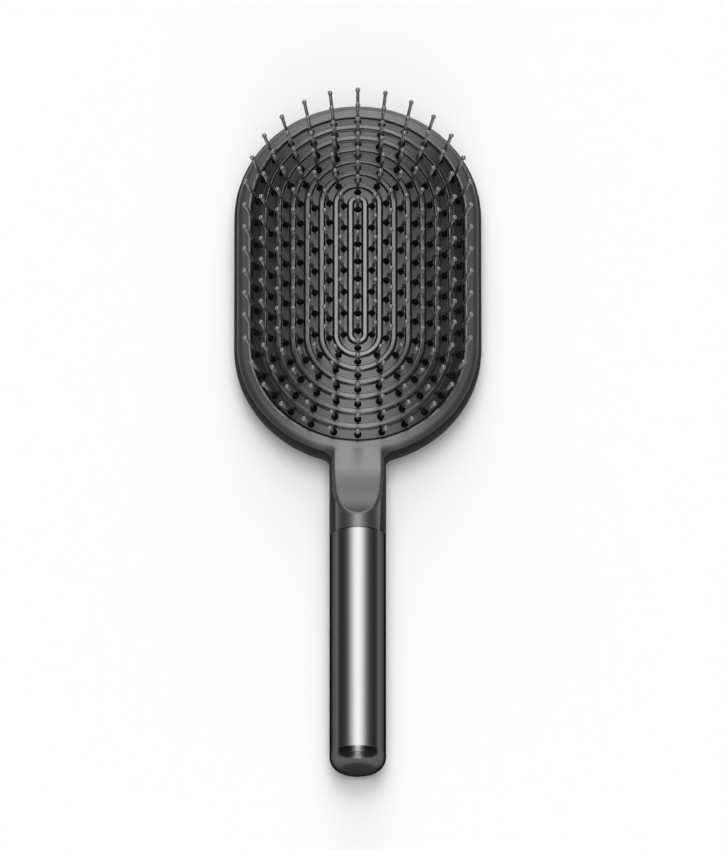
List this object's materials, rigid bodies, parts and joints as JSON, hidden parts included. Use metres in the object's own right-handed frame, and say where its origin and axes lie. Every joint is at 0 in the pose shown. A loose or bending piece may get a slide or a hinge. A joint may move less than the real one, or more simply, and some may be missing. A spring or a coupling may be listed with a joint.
{
  "type": "paddle hair brush",
  "caption": "Paddle hair brush with ball-tipped pins in a ridged air cushion, a satin plastic paddle with a thumb scoop, and a round metal handle sleeve.",
  "frame": {"origin": "centre of the paddle on its flat back, where the brush rests", "axes": "+Y along the brush to the paddle's top, with the handle along -Y; +Z the way the pins stand"},
  "size_m": [0.085, 0.2502, 0.0318],
  "materials": {
    "satin_plastic": "satin moulded",
    "cushion_rubber": "soft satin",
    "pin_nylon": "glossy",
    "gunmetal": "polished, dark anodised",
    "inner_plastic": "plain moulded",
    "screw_steel": "zinc plated",
    "ring_rubber": "matt"
  },
  "bodies": {
    "paddle": {"paddle_frame": "satin_plastic", "back_cover": "satin_plastic", "cushion_pad": "cushion_rubber", "cushion_clamp_ring": "inner_plastic", "clamp_ring_screws": "screw_steel", "tang_screws": "screw_steel", "handle_sleeve": "gunmetal", "sleeve_o_rings": "ring_rubber"},
    "centre_pins": {"centre_pin_row": "pin_nylon"},
    "ring_1_pins": {"pin_ring_1": "pin_nylon"},
    "ring_2_pins": {"pin_ring_2": "pin_nylon"},
    "ring_3_pins": {"pin_ring_3": "pin_nylon"},
    "ring_4_pins": {"pin_ring_4": "pin_nylon"},
    "ring_5_pins": {"pin_ring_5": "pin_nylon"},
    "ring_6_pins": {"pin_ring_6": "pin_nylon"},
    "ring_7_pins": {"pin_ring_7": "pin_nylon"}
  },
  "joints": [
    {"name": "crown_press", "type": "slide", "parent": "paddle", "child": "centre_pins", "axis": [0, 0, -1], "range_m": [0, 0.0038], "stiffness_N_per_m": 3000, "deforming": ["cushion_pad"]},
    {"name": "ring_1_press", "type": "slide", "parent": "paddle", "child": "ring_1_pins", "axis": [0, 0, -1], "range_m": [0, 0.00375]},
    {"name": "ring_2_press", "type": "slide", "parent": "paddle", "child": "ring_2_pins", "axis": [0, 0, -1], "range_m": [0, 0.00358]},
    {"name": "ring_3_press", "type": "slide", "parent": "paddle", "child": "ring_3_pins", "axis": [0, 0, -1], "range_m": [0, 0.0033]},
    {"name": "ring_4_press", "type": "slide", "parent": "paddle", "child": "ring_4_pins", "axis": [0, 0, -1], "range_m": [0, 0.0029]},
    {"name": "ring_5_press", "type": "slide", "parent": "paddle", "child": "ring_5_pins", "axis": [0, 0, -1], "range_m": [0, 0.00238]},
    {"name": "ring_6_press", "type": "slide", "parent": "paddle", "child": "ring_6_pins", "axis": [0, 0, -1], "range_m": [0, 0.00175]},
    {"name": "ring_7_press", "type": "slide", "parent": "paddle", "child": "ring_7_pins", "axis": [0, 0, -1], "range_m": [0, 0.000976]}
  ],
  "couplings": [
    {"joint": "ring_1_press", "follows": "crown_press", "ratio": 0.9853},
    {"joint": "ring_2_press", "follows": "crown_press", "ratio": 0.9411},
    {"joint": "ring_3_press", "follows": "crown_press", "ratio": 0.86706},
    {"joint": "ring_4_press", "follows": "crown_press", "ratio": 0.76258},
    {"joint": "ring_5_press", "follows": "crown_press", "ratio": 0.62681},
    {"joint": "ring_6_press", "follows": "crown_press", "ratio": 0.4586},
    {"joint": "ring_7_press", "follows": "crown_press", "ratio": 0.25642}
  ]
}
